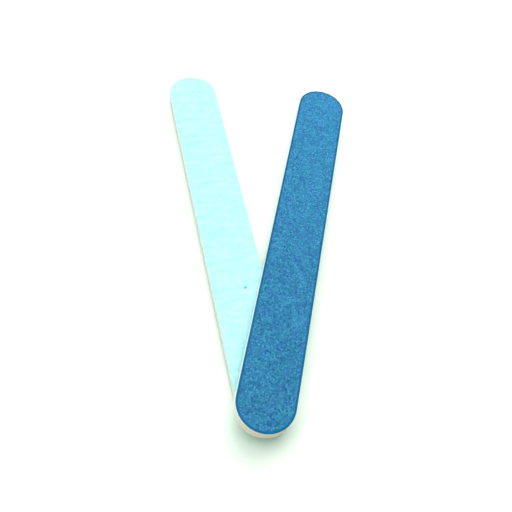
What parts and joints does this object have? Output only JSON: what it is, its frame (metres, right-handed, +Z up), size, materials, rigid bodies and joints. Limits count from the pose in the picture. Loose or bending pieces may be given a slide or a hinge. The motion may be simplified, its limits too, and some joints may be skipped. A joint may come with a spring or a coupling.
{
  "type": "sanding stick",
  "caption": "Flat round-ended sanding sticks with a cushioned foam core, coarse blue abrasive on one face and fine aqua abrasive on the other, laid in a narrow V.",
  "frame": {"origin": "middle of the lower stick's underside, on the surface it lies on", "axes": "+Y along the lower stick towards the open end of the V, +X towards the upper stick, +Z up through its thickness"},
  "size_m": [0.0732, 0.1559, 0.0116],
  "materials": {
    "coarse_abrasive": "coarse mineral grain in blue resin, matte with small glints",
    "fine_abrasive": "fine mineral grain in pale aqua resin, matte",
    "blue_paper": "latex paper dyed blue, cut edge",
    "aqua_paper": "latex paper dyed pale aqua, cut edge",
    "foam": "white closed-cell foam, die-cut edge, matte",
    "tape": "clear double-sided adhesive film",
    "core": "white polystyrene sheet"
  },
  "bodies": {
    "lower_stick": {"lower_core_strip": "core", "lower_blue_core_tape": "tape", "lower_blue_foam": "foam", "lower_blue_paper_tape": "tape", "lower_blue_paper": "blue_paper", "lower_blue_coat": "coarse_abrasive", "lower_aqua_core_tape": "tape", "lower_aqua_foam": "foam", "lower_aqua_paper_tape": "tape", "lower_aqua_paper": "aqua_paper", "lower_aqua_coat": "fine_abrasive"},
    "upper_stick": {"upper_core_strip": "core", "upper_blue_core_tape": "tape", "upper_blue_foam": "foam", "upper_blue_paper_tape": "tape", "upper_blue_paper": "blue_paper", "upper_blue_coat": "coarse_abrasive", "upper_aqua_core_tape": "tape", "upper_aqua_foam": "foam", "upper_aqua_paper_tape": "tape", "upper_aqua_paper": "aqua_paper", "upper_aqua_coat": "fine_abrasive"}
  },
  "joints": [
    {"name": "upper_stick_lift", "type": "slide", "parent": "lower_stick", "child": "upper_stick", "axis": [0, 0, 1], "range_m": [0, 0.1]}
  ]
}
